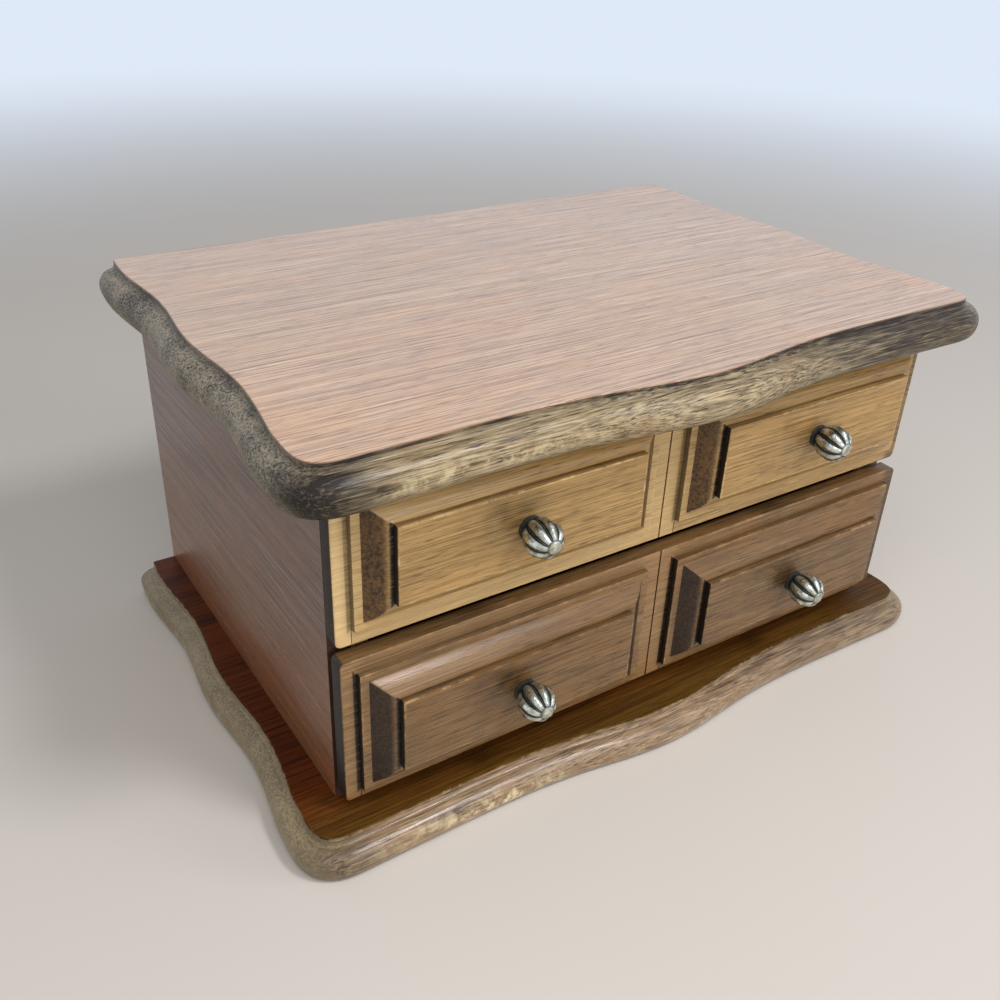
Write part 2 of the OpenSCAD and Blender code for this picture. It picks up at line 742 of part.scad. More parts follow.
base_felt();
base_board();
case_floor();
side_left();
side_right();
back_panel();
upper_front();
shelf();
shelf_cleats();
base_screws();
tray_floor_pad();
tray_lining_front();
tray_lining_back();
tray_lining_left();
tray_lining_right();
tray_divider_long();
tray_divider_short();
ring_cushion_board();
ring_rolls();
knob_upper_left();
knob_upper_right();
knob_screws_upper();
hinge_leaves_case();
hinge_screws_case();
hinge_pins();
lid_board();
mirror_glass();
mirror_card();
mirror_bead_front();
mirror_bead_back();
mirror_bead_left();
mirror_bead_right();
hinge_leaves_lid();
hinge_screws_lid();
drawer_front();
drawer_side_left();
drawer_side_right();
drawer_back();
drawer_floor();
drawer_floor_pad();
drawer_divider();
knob_lower_left();
knob_lower_right();
knob_screws_lower();
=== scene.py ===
"""Vanity box: lined tray under a hinged lid with a mirror, and one wide drawer."""
import math

import bmesh
import bpy
from mathutils import Matrix, Vector, noise


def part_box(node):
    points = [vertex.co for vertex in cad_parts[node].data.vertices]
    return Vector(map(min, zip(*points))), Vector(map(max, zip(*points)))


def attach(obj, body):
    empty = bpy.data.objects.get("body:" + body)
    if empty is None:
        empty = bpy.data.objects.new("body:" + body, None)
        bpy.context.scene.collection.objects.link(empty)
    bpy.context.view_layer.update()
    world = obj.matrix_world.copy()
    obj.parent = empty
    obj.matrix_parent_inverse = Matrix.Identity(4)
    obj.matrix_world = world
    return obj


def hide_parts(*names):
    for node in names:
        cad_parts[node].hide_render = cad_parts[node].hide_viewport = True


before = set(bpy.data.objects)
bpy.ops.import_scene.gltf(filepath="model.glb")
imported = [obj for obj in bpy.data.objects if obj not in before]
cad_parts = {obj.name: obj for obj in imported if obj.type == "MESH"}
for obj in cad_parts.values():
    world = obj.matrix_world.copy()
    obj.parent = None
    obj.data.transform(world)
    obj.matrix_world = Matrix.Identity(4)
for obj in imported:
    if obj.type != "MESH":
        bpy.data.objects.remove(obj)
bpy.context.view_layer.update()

MM = 0.001

# Sizes in millimetres, as in the box's CAD source
CASE_W, BODY_D = 250, 172.4
BASE_LOW, BASE_T, RIM, LID_T = 0.8, 13, 134.8, 15
LID_FOOT, BASE_FOOT = 3.4, 1.6
FACE_Y, BACK_Y = -75.582, 96.818
DRAWER_FACE_Y = FACE_Y - 2.4
LID_OVER, BASE_OVER, FRONT_OVER = 6.2, 8.7, 9.6
BULGE, BULGE_W, WAVE, WAVE_LEN, SPLAY, CORNER_FLARE = 6.8, 38, 1.3, 74, 1.7, 1.5
STEP_H, STEP_W, ROUND_OUT = 2.8, 0.7, 6.4
RAIL_T, FIELD_RISE, OUTER_STEP, INNER_STEP = 6.4, 9.4, 2.2, 2.4
MOULD_W, MOULD_H, STILE_W, CENTRE_W = 11, 9.8, 5.5, 6.7
SCORE_W, SCORE_DEEP, RUN_OUT_W, RUN_OUT_DEEP = 0.7, 0.5, 0.3, 0.35
UPPER_Z, DRAWER_Z = (79.7, 134.8), (18.9, 75.7)
UPPER_FIELD, DRAWER_FIELD = (85.5, 132.5), (22.6, 70.4)
KNOB_X, KNOB_D, KNOB_REACH = 63.1, 13.2, 7.2
LOBES, GROOVE, TWIST, BOSS_ANGLE, NECK_ANGLE = 8, 0.16, 24, 21, 152
MIRROR_MID_Y, GLASS_W, GLASS_D, GLASS_DEEP = 9.818, 202.6, 126.6, 3
SCREW_R, SCREW_HEAD_R, SCREW_HEAD_DEEP = 1.7, 3.3, 2.4
HINGE_X, HINGE_W, LEAF_D, LEAF_T = 82, 24, 6.5, 1
ROLL_D, ROLL_COUNT = 14, 6
FELT_IN, FELT_T = 9, 0.8


# ---------- camera ----------

CAMERA_AT = (-0.22543, -0.30830, 0.28159)
AZIMUTH, ELEVATION, ROLL = 34.046, -30.632, 2.338
LENS_MM, SENSOR_MM = 38.41, 36


def set_up_camera():
    az, el, roll = (math.radians(a) for a in (AZIMUTH, ELEVATION, ROLL))
    ahead = Vector((math.sin(az) * math.cos(el), math.cos(az) * math.cos(el), math.sin(el)))
    level = ahead.cross((0, 0, 1)).normalized()
    upright = level.cross(ahead)
    right = level * math.cos(roll) + upright * math.sin(roll)
    up = upright * math.cos(roll) - level * math.sin(roll)
    data = bpy.data.cameras.new("camera")
    data.lens, data.sensor_width, data.clip_start = LENS_MM, SENSOR_MM, 0.01
    camera = bpy.data.objects.new("camera", data)
    bpy.context.collection.objects.link(camera)
    camera.matrix_world = Matrix.Translation(CAMERA_AT) @ Matrix((right, up, -ahead)).transposed().to_4x4()
    bpy.context.scene.camera = camera


# ---------- finishes ----------

def paint(code):
    """An sRGB hex colour, as the linear colour that the shaders take."""
    parts = [int(code[i:i + 2], 16) / 255 for i in (1, 3, 5)]
    return tuple(c / 12.92 if c <= 0.04045 else ((c + 0.055) / 1.055) ** 2.4 for c in parts) + (1.0,)


def add(tree, kind, sockets=None, **settings):
    """Adds one node. A socket takes a number, a hex colour, another node or one of its outputs."""
    made = tree.nodes.new("ShaderNode" + kind)
    for name, value in settings.items():
        setattr(made, name, value)
    for key, value in (sockets or {}).items():
        if isinstance(value, bpy.types.Node):
            value = value.outputs[0]
        if isinstance(value, bpy.types.NodeSocket):
            tree.links.new(value, made.inputs[key])
        else:
            made.inputs[key].default_value = paint(value) if isinstance(value, str) else value
    return made


def new_finish(name):
    finish = bpy.data.materials.new(name)
    finish.use_nodes = True
    finish.node_tree.nodes.clear()
    return finish, finish.node_tree


def per_mm(*lengths):
    """Texture scale at which one feature is so many millimetres long along X, Y and Z."""
    return tuple(1000 / length for length in lengths)


def remap(tree, value, low, high, to_low=0.0, to_high=1.0):
    """The value's span from low to high, spread over another span and held at its ends."""
    return add(tree, "MapRange", {0: value, 1: low, 2: high, 3: to_low, 4: to_high})


def blend(tree, share, under, over):
    return add(tree, "MixRGB", {"Fac": share, "Color1": under, "Color2": over})


def work_out(tree, operation, *values, clamp=False):
    """One step of arithmetic on numbers and sockets."""
    return add(tree, "Math", dict(enumerate(values)), operation=operation, use_clamp=clamp)


def mottle(tree, at, size_mm, detail, rough, swirl=0.0):
    """Noise whose features are about so many millimetres across."""
    return add(tree, "TexNoise", {"Vector": at, "Scale": 1000 / size_mm, "Detail": detail, "Roughness": rough,
                                  "Distortion": swirl})


def marked(tree, name):
    """How strongly a mark, stored on the mesh's points, applies."""
    return add(tree, "Attribute", attribute_name=name).outputs["Fac"]


def stained_wood(name, pale, deep, warm, end, *, along="x", streak=(90, 0.9), contrast=0.12, pore=0.5, gloss=0.34,
                 coat=0.25, patch=0.5, dark="#170e08", worn_and_sheen="#c9ad84", end_dark=0.5, end_from=(0.42, 0.8),
                 end_grit=0.8, edge_wear=0.7, foot=None, ior=1.36):
    """Stained, lacquered wood: streaks and pores run along one axis, and the ends drink more stain.

    A streak has a length and a width in millimetres. The foot is a tint at one side: its colour, the axis
    and, in metres, where it is full and where it ends.
    """
    finish, tree = new_finish(name)
    length, width = streak
    place = add(tree, "TexCoord")
    at = place.outputs["Object"]

    def grain(long, wide, detail, rough, swirl=0.0):
        sizes = (long, wide, wide) if along == "x" else (wide, long, wide)
        scaled = add(tree, "Mapping", {"Vector": at, "Scale": per_mm(*sizes)})
        return add(tree, "TexNoise", {"Vector": scaled, "Scale": 1, "Detail": detail, "Roughness": rough,
                                      "Distortion": swirl})

    # streaks of early and late wood, coarsened to show, over broader bands
    streaks = grain(length, width, 3, 0.65)
    bands = grain(length * 0.8, width * 2.6, 3, 0.6, 0.3)
    both = work_out(tree, "MULTIPLY_ADD", streaks, 0.74, work_out(tree, "MULTIPLY", bands, 0.26))
    tone = remap(tree, both, 0.5 - contrast, 0.5 + contrast)
    wood = blend(tree, tone, deep, pale)
    # the figure: slow patches where the stain took warmer
    warmth = remap(tree, grain(48, 20, 4, 0.6, 0.8), 0.44, 0.64, 0, patch)
    warmth = work_out(tree, "MULTIPLY", warmth, remap(tree, tone, 0, 1, 0.6, 1.0))
    wood = blend(tree, warmth, wood, warm)
    # a tint toward one side; on the side panel it is a painted reflection of the base, warmer low down
    if foot:
        tint, axis, near, far = foot
        reach = add(tree, "SeparateXYZ", {0: at}).outputs[axis]
        reach = work_out(tree, "MULTIPLY_ADD", bands, (far - near) * 0.6, reach)
        tinted = blend(tree, remap(tree, tone, 0, 1, 0.3, 1), deep, tint)
        wood = blend(tree, remap(tree, reach, near, far, 0.85, 0), wood, tinted)
    # open pores, about 8 mm long, widened to show
    pits = remap(tree, grain(8, 0.4, 2, 0.5), 0.58, 0.68, 0, pore)
    wood = blend(tree, pits, wood, dark)
    # end grain, where the fibres are cut across: on faces turned to the axis, and where marked
    facing = add(tree, "SeparateXYZ", {0: place.outputs["Normal"]})
    across = work_out(tree, "ABSOLUTE", facing.outputs[0 if along == "x" else 1])
    ends = add(tree, "MapRange", {0: across, 1: end_from[0], 2: end_from[1]}, interpolation_type="SMOOTHSTEP")
    ends = work_out(tree, "MAXIMUM", ends, marked(tree, "cross"))
    bundles = add(tree, "Mapping", {"Vector": at, "Scale": per_mm(1.1, 1.1, end_grit)})
    fibres = add(tree, "TexNoise", {"Vector": bundles, "Scale": 1, "Detail": 3, "Roughness": 0.75})
    cut = work_out(tree, "MULTIPLY_ADD", mottle(tree, at, 11, 3, 0.6), 0.4, fibres)
    cut_wood = blend(tree, remap(tree, cut, 0.58, 0.82, end_dark, 0), end, dark)
    wood = blend(tree, ends, wood, cut_wood)
    # paler rails with a painted sheen, lacquer rubbed off the edges with a painted highlight, and stain left in the
    # corners with painted shade
    pale_and_sheen_share = work_out(tree, "MULTIPLY", marked(tree, "pale_and_sheen"), remap(tree, tone, 0, 1, 0.55, 0.95))
    wood = blend(tree, pale_and_sheen_share, wood, worn_and_sheen)
    chips = remap(tree, mottle(tree, at, 5, 5, 0.7), 0.46, 0.6, 0, edge_wear)
    wood = blend(tree, work_out(tree, "MULTIPLY", chips, marked(tree, "wear_and_highlight")), wood, worn_and_sheen)
    stain_and_shade = marked(tree, "stain_and_shade")
    smear = work_out(tree, "MULTIPLY", remap(tree, tone, 0, 1, 1.25, 0.75), stain_and_shade, clamp=True)
    wood = blend(tree, smear, wood, dark)
    # the streaks vary the sheen a little; ends, and the marked stain and painted shade, are duller
    sheen = remap(tree, streaks, 0.3, 0.7, gloss + 0.1, gloss - 0.04)
    dull = work_out(tree, "MULTIPLY_ADD", ends, 0.2, sheen)
    dull = work_out(tree, "MULTIPLY_ADD", stain_and_shade, 0.1, dull, clamp=True)
    height = blend(tree, ends, work_out(tree, "SUBTRACT", streaks, pits), fibres)
    relief = add(tree, "Bump", {"Height": height, "Strength": 0.4, "Distance": 0.15 * MM})
    shader = add(tree, "BsdfPrincipled", {"Base Color": wood, "Roughness": dull, "Normal": relief, "IOR": ior,
                                          "Coat Weight": coat, "Coat Roughness": 0.25, "Coat IOR": 1.5})
    add(tree, "OutputMaterial", {"Surface": shader})
    return finish


def aged_metal(name, bright, dim, grime_and_shade, *, rough=0.3, spot=4):
    """Plated metal with small dull spots, and dark where marked: tarnish in its hollows and painted shade."""
    finish, tree = new_finish(name)
    at = add(tree, "TexCoord").outputs["Object"]
    cloud = mottle(tree, at, spot, 4, 0.6)
    metal = blend(tree, remap(tree, cloud, 0.4, 0.6), bright, dim)
    grit = mottle(tree, at, 0.7, 3, 0.6)
    specks = remap(tree, grit, 0.58, 0.7, 0, 0.35)
    # dull specks, and the marked tarnish and painted shade
    dirt_and_shade = work_out(tree, "ADD", specks, marked(tree, "stain_and_shade"), clamp=True)
    metal = blend(tree, dirt_and_shade, metal, grime_and_shade)
    pitting = work_out(tree, "MULTIPLY_ADD", cloud, 2.5, grit)
    relief = add(tree, "Bump", {"Height": pitting, "Strength": 0.3, "Distance": 0.25 * MM})
    shader = add(tree, "BsdfPrincipled", {"Base Color": metal, "Metallic": remap(tree, dirt_and_shade, 0, 1, 1, 0.35),
                                          "Roughness": remap(tree, dirt_and_shade, 0, 1, rough, 0.7), "Normal": relief})
    add(tree, "OutputMaterial", {"Surface": shader})
    return finish


def napped_cloth(name, deep, lit, sheen, *, pile_mm=0.9):
    """Velvet or felt: a short pile, brushed one way and the other in soft patches of about 14 mm."""
    finish, tree = new_finish(name)
    at = add(tree, "TexCoord").outputs["Object"]
    pile = mottle(tree, at, pile_mm, 3, 0.7)
    brushed = mottle(tree, at, 14, 3, 0.5, 0.8)
    both = work_out(tree, "MULTIPLY_ADD", pile, 0.45, work_out(tree, "MULTIPLY", brushed, 0.55))
    cloth = blend(tree, remap(tree, both, 0.32, 0.68), deep, lit)
    relief = add(tree, "Bump", {"Height": pile, "Strength": 0.5, "Distance": 0.25 * MM})
    shader = add(tree, "BsdfPrincipled", {"Base Color": cloth, "Roughness": 0.92, "Normal": relief, "IOR": 1.45,
                                          "Sheen Weight": sheen, "Sheen Roughness": 0.35, "Sheen Tint": lit})
    add(tree, "OutputMaterial", {"Surface": shader})
    return finish


def silvered_glass():
    """Mirror: float glass silvered on its back, with a faint haze of fingerprints."""
    finish, tree = new_finish("silvered_float_glass")
    at = add(tree, "TexCoord").outputs["Object"]
    haze = mottle(tree, at, 30, 5, 0.65)
    shader = add(tree, "BsdfPrincipled", {"Base Color": blend(tree, haze, "#e4ecea", "#eef2f0"), "Metallic": 1.0,
                                          "Roughness": remap(tree, haze, 0.5, 0.75, 0.02, 0.09)})
    add(tree, "OutputMaterial", {"Surface": shader})
    return finish


def grey_card():
    """Pulp card, with flecks of darker fibre."""
    finish, tree = new_finish("grey_pulp_card")
    at = add(tree, "TexCoord").outputs["Object"]
    flecks = mottle(tree, at, 1.2, 4, 0.7)
    pulp = blend(tree, remap(tree, flecks, 0.4, 0.6), "#6f6350", "#92836a")
    relief = add(tree, "Bump", {"Height": flecks, "Strength": 0.3, "Distance": 0.1 * MM})
    shader = add(tree, "BsdfPrincipled", {"Base Color": pulp, "Roughness": 0.9, "Normal": relief})
    add(tree, "OutputMaterial", {"Surface": shader})
    return finish


# ---------- shapes ----------

def carved(name, points, faces, body, finishes):
    """A closed mesh from points in millimetres, riding on a body."""
    shape = bmesh.new()
    corners = [shape.verts.new((x * MM, y * MM, z * MM)) for x, y, z in points]
    for face in faces:
        try:
            shape.faces.new([corners[i] for i in face])
        except ValueError:
            pass
    bmesh.ops.remove_doubles(shape, verts=shape.verts, dist=0.002 * MM)
    bmesh.ops.dissolve_degenerate(shape, edges=shape.edges, dist=0.001 * MM)
    bmesh.ops.recalc_face_normals(shape, faces=shape.faces)
    mesh = bpy.data.meshes.new(name)
    shape.to_mesh(mesh)
    shape.free()
    piece = bpy.data.objects.new(name, mesh)
    bpy.context.collection.objects.link(piece)
    for finish in finishes:
        mesh.materials.append(finish)
    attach(piece, body)
    return piece


def smooth(piece, angle=32):
    piece.data.shade_smooth()
    piece.data.set_sharp_from_angle(angle=math.radians(angle))


def between(rows, count, closed, start=0):
    """Quads between rows of points, each row with the same count, the first point numbered start."""
    quads = []
    for k in range(start, start + (rows - 1) * count, count):
        for i in range(count if closed else count - 1):
            j = (i + 1) % count
            quads.append((k + i, k + j, k + count + j, k + count + i))
    return quads


def cut_away(piece, blocks=(), rods=()):
    """Cuts blocks (low, high) and rods along Y (x, z, radius, y from, y to) out of a piece."""
    for shapes, is_block in ((blocks, True), (rods, False)):
        if not shapes:
            continue
        tool = bmesh.new()
        for s in shapes:
            if is_block:
                low, high = Vector(s[0]) * MM, Vector(s[1]) * MM
                placed = Matrix.Translation((low + high) / 2) @ Matrix.Diagonal((*(high - low), 1))
                bmesh.ops.create_cube(tool, size=1, matrix=placed)
            else:
                x, z, radius, y0, y1 = (v * MM for v in s)
                placed = Matrix.Translation((x, (y0 + y1) / 2, z)) @ Matrix.Rotation(math.pi / 2, 4, "X")
                bmesh.ops.create_cone(tool, cap_ends=True, segments=40, radius1=radius, radius2=radius, depth=y1 - y0,
                                      matrix=placed)
        mesh = bpy.data.meshes.new("tool")
        tool.to_mesh(mesh)
        tool.free()
        cutter = bpy.data.objects.new("tool", mesh)
        bpy.context.collection.objects.link(cutter)
        job = piece.modifiers.new("cut", "BOOLEAN")
        job.operation, job.solver, job.object = "DIFFERENCE", "EXACT", cutter
        graph = bpy.context.evaluated_depsgraph_get()
        result = bpy.data.meshes.new_from_object(piece.evaluated_get(graph))
        piece.modifiers.clear()
        old, piece.data = piece.data, result
        result.name = piece.name
        bpy.data.meshes.remove(old)
        bpy.data.objects.remove(cutter)
        bpy.data.meshes.remove(mesh)


def mark(piece, rule):
    """Stores per point its stain with painted shade, its wear with painted highlight, its paleness with painted sheen,
    and how cut across it is; the rule takes a place in millimetres.
    """
    marks = [rule(*(v.co / MM)) for v in piece.data.vertices]
    for k, name in enumerate(("stain_and_shade", "wear_and_highlight", "pale_and_sheen", "cross")):
        layer = piece.data.attributes.new(name, "FLOAT", "POINT")
        layer.data.foreach_set("value", [min(max(m[k], 0), 1) for m in marks])


def hump(x, centre, width):
    """One at the centre, falling off smoothly to both sides."""
    return math.exp(-((x - centre) / width) ** 2)


def ramp(x, start, length):
    """Zero up to the start, rising to one over the length."""
    return min(max((x - start) / length, 0), 1)


# ---------- lid and base boards ----------

def side_edge(over, v):
    """Half the width, so far behind the front: it splays, waves and flares at the corner."""
    return (CASE_W / 2 + over + SPLAY * (1 - v / BODY_D)
            + WAVE * math.cos(math.radians(360 * (BODY_D - v) / WAVE_LEN - 70))
            + CORNER_FLARE * math.exp(-((v - 4) / 14) ** 2))


def front_edge(u):
    """The front line at a distance from the middle: a bulge there, and a slight lean out to the ends."""
    return -FRONT_OVER - BULGE * math.exp(-(u / BULGE_W) ** 2) - 0.9 * (u / 100) ** 2


def serpentine(over):
    """Outline from above, from the back right corner round the front to the back left."""
    side = [Vector((side_edge(over, v), v)) for v in (BODY_D + (6 - BODY_D) * i / 84 for i in range(85))]
    half = CASE_W / 2 - 1 + over - LID_OVER
    front = [Vector((u, front_edge(u))) for u in (half * (1 - i / 72) for i in range(73))]
    a, d = side[-1], front[0]
    chord = 6 + (BODY_D - 6) / 26
    reach = 0.55 * (d - a).length
    b = a + reach * (a - Vector((side_edge(over, chord), chord))).normalized()
    c = d + reach * (d - Vector((half * 21 / 22, front_edge(half * 21 / 22)))).normalized()
    corner = [(1 - t) ** 3 * a + 3 * (1 - t) ** 2 * t * b + 3 * (1 - t) * t * t * c + t ** 3 * d
              for t in (i / 22 for i in range(1, 22))]
    right = side + corner + front
    return right + [Vector((-p.x, p.y)) for p in reversed(right[:-1])]


def ring_round(path, out, z):
    """The path moved outwards, at a height: one row of a moulded edge."""
    ring = []
    for i, p in enumerate(path):
        if i in (0, len(path) - 1):
            away = Vector((1 if i == 0 else -1, 0))
        else:
            run = (path[i + 1] - path[i - 1]).normalized()
            away = Vector((-run.y, run.x))
        q = p + out * away
        ring.append((q.x, FACE_Y + min(q.y, BODY_D), z))
    return ring


def moulded_board(name, over, low, thick, foot, body, finishes):
    """Board with the waved outline: a round nose, a small cove over it, and an eased top edge."""
    path = serpentine(over)
    shoulder = thick - STEP_H
    middle = shoulder * 0.46
    crest = shoulder - 0.3
    # the profile, as how far out of the path and how high: nose, cove, eased edge
    rows = [(ROUND_OUT - foot - 1.5, 0)]
    rows += [(ROUND_OUT - foot + foot * math.sin(a), middle * (1 - math.cos(a)))
             for a in (math.pi * i / 16 for i in range(8))]
    rows += [(STEP_W + (ROUND_OUT - STEP_W) * math.cos(a), middle + (crest - middle) * math.sin(a))
             for a in (math.radians(4 * i) for i in range(22))]
    start, bend, end = rows[-1], (0.05, crest + 0.1), (0, thick - 1.3)
    rows += [tuple((1 - t) ** 2 * a + 2 * (1 - t) * t * b + t * t * c for a, b, c in zip(start, bend, end))
             for t in (i / 8 for i in range(1, 9))]
    rows += [(0, thick - 0.4), (-0.12, thick - 0.12), (-0.4, thick), (-0.8, thick), (-3, thick)]
    count = len(path)
    points = [p for out, h in rows for p in ring_round(path, out, low + h)]
    firsts = range(0, len(points), count)
    # the moulded edge, then the straight back, the underside and the top
    faces = between(len(rows), count, False)
    faces.append([*firsts] + [k + count - 1 for k in reversed(firsts)])
    faces += [list(range(count)), list(range(len(points) - count, len(points)))]
    board = carved(name, points, faces, body, finishes)
    return board, crest


def board_marks(low, thick, crest, cove_stain_and_shade):
    """Rule for the marks of the lid or the base: stain with painted shade, wear with a painted highlight, and end grain
    along the sides.
    """
    def rule(x, y, z):
        h = z - low
        patchy = noise.noise(Vector((x, y, z)) / 14)
        if y > BACK_Y - 0.05 or h > thick - 0.02 or h < 0.2:
            return 0, 0, 0, 0
        at_side = ramp(y, FACE_Y - 17, 12) * ramp(abs(x), 124, 8)
        # darker in the cove, from stain and painted shade together; darker round the front left corner; and a painted
        # shade over the right half of the front, where the light falls off
        band = hump(h, thick - 0.9, 0.55) + 0.35 * ramp(h, crest - 0.02, 0.25)
        corner = hump(math.hypot(x + 134, y - FACE_Y + 18), 0, 16) * (1 if h < crest else 0.5)
        stain_and_shade = cove_stain_and_shade * band * (1 - 0.7 * at_side) * (0.95 + 0.4 * patchy)
        stain_and_shade += 1.3 * corner * (1 + 1.2 * patchy) * cove_stain_and_shade
        # painted shade: the right half of the front darker, where the light falls off
        stain_and_shade += 0.9 * ramp(x, 10, 80) * (1 - at_side) * cove_stain_and_shade
        # bare wood on the top edge and along the nose, and a painted highlight low on the nose over the left half of
        # the front
        wear_and_highlight = hump(h, thick - 0.15, 0.35) * (0.5 + patchy) + 0.5 * hump(h, thick * 0.28, 2.2) * (0.1 + 1.6 * patchy)
        # painted highlight: the lower nose paler over the left half of the front
        wear_and_highlight += 0.6 * ramp(-x, 20, 60) * hump(h, thick * 0.35, 3) * (1 - at_side) * (1 - min(corner, 1))
        return stain_and_shade, wear_and_highlight, 0, at_side
    return rule


def dress_board(board, low, thick, crest, cove_stain_and_shade):
    mark(board, board_marks(low, thick, crest, cove_stain_and_shade))
    smooth(board)
    top = (low + thick) * MM
    for face in board.data.polygons:
        on_top = face.normal.z > 0.3 and face.center.z > top - 0.4 * MM
        face.material_index = 0 if on_top else 2 if face.normal.z < -0.9 else 1


# ---------- panelled fronts ----------

ACROSS = [t - 0.8 * math.sin(2 * math.pi * t) / (2 * math.pi) for t in (i / 50 for i in range(51))]
UPWARD = [t - 0.7 * math.sin(2 * math.pi * t) / (2 * math.pi) for t in (i / 24 for i in range(25))]


def panel_loop(x0, x1, z0, z1, y, corners=(0, 0, 0, 0)):
    """Points round a rectangle from its low left corner; corners are the four radii in that order."""
    loop = ([(x0 + (x1 - x0) * s, z0) for s in ACROSS[:-1]] + [(x1, z0 + (z1 - z0) * s) for s in UPWARD[:-1]]
            + [(x1 - (x1 - x0) * s, z1) for s in ACROSS[:-1]] + [(x0, z1 - (z1 - z0) * s) for s in UPWARD[:-1]])
    eased = []
    for x, z in loop:
        for radius, corner_x, corner_z, sx, sz in zip(corners, (x0, x1, x1, x0), (z0, z0, z1, z1), (1, -1, -1, 1),
                                                      (1, 1, -1, -1)):
            mid_x, mid_z = corner_x + sx * radius, corner_z + sz * radius
            if radius and (x - mid_x) * sx < 0 and (z - mid_z) * sz < 0:
                away = Vector((x - mid_x, z - mid_z)).normalized() * radius
                x, z = mid_x + away.x, mid_z + away.y
                break
        eased.append((x, y, z))
    return eased


def moulding_rows():
    """Rows of the raised panel from its foot to the field: share of the moulding, inset and rise."""
    curve = FIELD_RISE - OUTER_STEP - INNER_STEP
    rows = [(0, 0, 0), (0, 0, 0.4), (0, 0, OUTER_STEP - 0.25), (0, 0.07, OUTER_STEP - 0.07), (0, 0.25, OUTER_STEP),
            (0, 0.6, OUTER_STEP), (0.25, 0, OUTER_STEP)]
    rows += [(0.27 + 0.71 * t, 0, OUTER_STEP + curve * (1 - math.cos(math.pi * t ** 0.62)) / 2)
             for t in (i / 22 for i in range(23))]
    rows += [(1, 0, FIELD_RISE - INNER_STEP), (1, 0, FIELD_RISE - 1), (1, 0, FIELD_RISE - 0.35),
             (1, 0.1, FIELD_RISE - 0.1), (1, 0.35, FIELD_RISE), (1, 0.8, FIELD_RISE), (1, 1.4, FIELD_RISE)]
    return rows


def front_marks(face_y, zs, fields, knob_z, rail_pale_and_sheen, knob_shadow_and_mottle, step_stain_and_shade):
    """Rule for the marks of a panelled front: how pale its rails are, with a painted sheen on the top slopes, and how
    dark its steps and knob places are, with painted shade in the steps and a painted shadow beside each knob.
    """
    half = CASE_W / 2

    def rule(x, y, z):
        rise, near = face_y - y, abs(x)
        cloud = noise.noise(Vector((x, y, z)) / 11) + 0.5 * noise.noise(Vector((x, y, z)) / 4)
        if rise < -0.4:
            # the board's own ends and top edge, darker: stain in the end grain, and painted shade on the top edge in
            # the gap between the fronts
            return max(0.8 if near > half - 0.1 else 0, 0.15 if z > zs[1] - 0.1 else 0), 0, 0, 0
        # how far across the moulding the place is, from each side: 0 at its foot, 1 at the field
        ends = ((half - STILE_W - near) / MOULD_W, (near - CENTRE_W) / MOULD_W)
        left = ends[0] if x < 0 else ends[1]
        share = min(*ends, (z - fields[0]) / MOULD_H, (fields[1] - z) / MOULD_H)
        shaded = left < share + 0.004
        # darker in and beside the steps, most in those on the left of each panel, which face away from the light: stain
        # and painted shade together
        stain_and_shade = 0
        if share < 0.01 and rise < OUTER_STEP - 0.1:
            stain_and_shade = step_stain_and_shade * (left > -0.135) if shaded else 0.35 * hump(share, 0, 0.02)
        if share > 0.8 and rise < FIELD_RISE - 0.2:
            stain_and_shade = 0.95 * ramp(left, 0.86, 0.05) if shaded else 0.6 * hump(share, 1, 0.02) * (rise < 7.4)
        if near < 0.5 and rise < -0.25:
            stain_and_shade = 0.3
        # painted shade: the right stile darker, where the light falls off
        if x > half - STILE_W - 0.5:
            stain_and_shade += 0.55
        # lacquer rubbed off the edges of the steps and of the board
        edge = min(half - near, z - zs[0], zs[1] - z)
        wear_and_highlight = 0.6 * hump(share, 0.02, 0.03) * (rise > 1.8) + 1.1 * hump(share, 1.02, 0.03) * (rise > 9)
        wear_and_highlight += 0.7 * hump(edge, 0, 0.5)
        # paler rails, palest at the left end and between the panels, and much less pale right of the centre: a painted
        # shade where the light falls off
        pale_and_sheen = rail_pale_and_sheen * (1 if share < 0.01 else 0.75 if share < 0.26 else 0)
        if x < STILE_W - half:
            pale_and_sheen *= 1.7
        elif x > CENTRE_W:
            pale_and_sheen *= 0.3
        elif near < CENTRE_W:
            pale_and_sheen *= 2.6 - 4 * rail_pale_and_sheen
        # painted sheen: the top slopes of the panels paler toward their left ends
        if 0.3 < share < 0.98 and (fields[1] - z) / MOULD_H < share + 0.01:
            pale_and_sheen = (0.24 + 0.36 * rail_pale_and_sheen) * ramp(-x, 60, 45)
        # the fields darker to the upper left of the knobs: a painted shadow of each knob, with faint darker patches
        # across the field
        if share > 0.9 and rise > 9:
            beside = math.hypot((near - KNOB_X if x > 0 else x + KNOB_X) + 9, (z - knob_z - 9) * 1.3)
            stain_and_shade += knob_shadow_and_mottle * hump(beside, 0, 12) * (0.8 + cloud)
            stain_and_shade += 0.3 * knob_shadow_and_mottle * max(0, cloud)
        return stain_and_shade, wear_and_highlight * (0.6 + cloud), pale_and_sheen, 0
    return rule


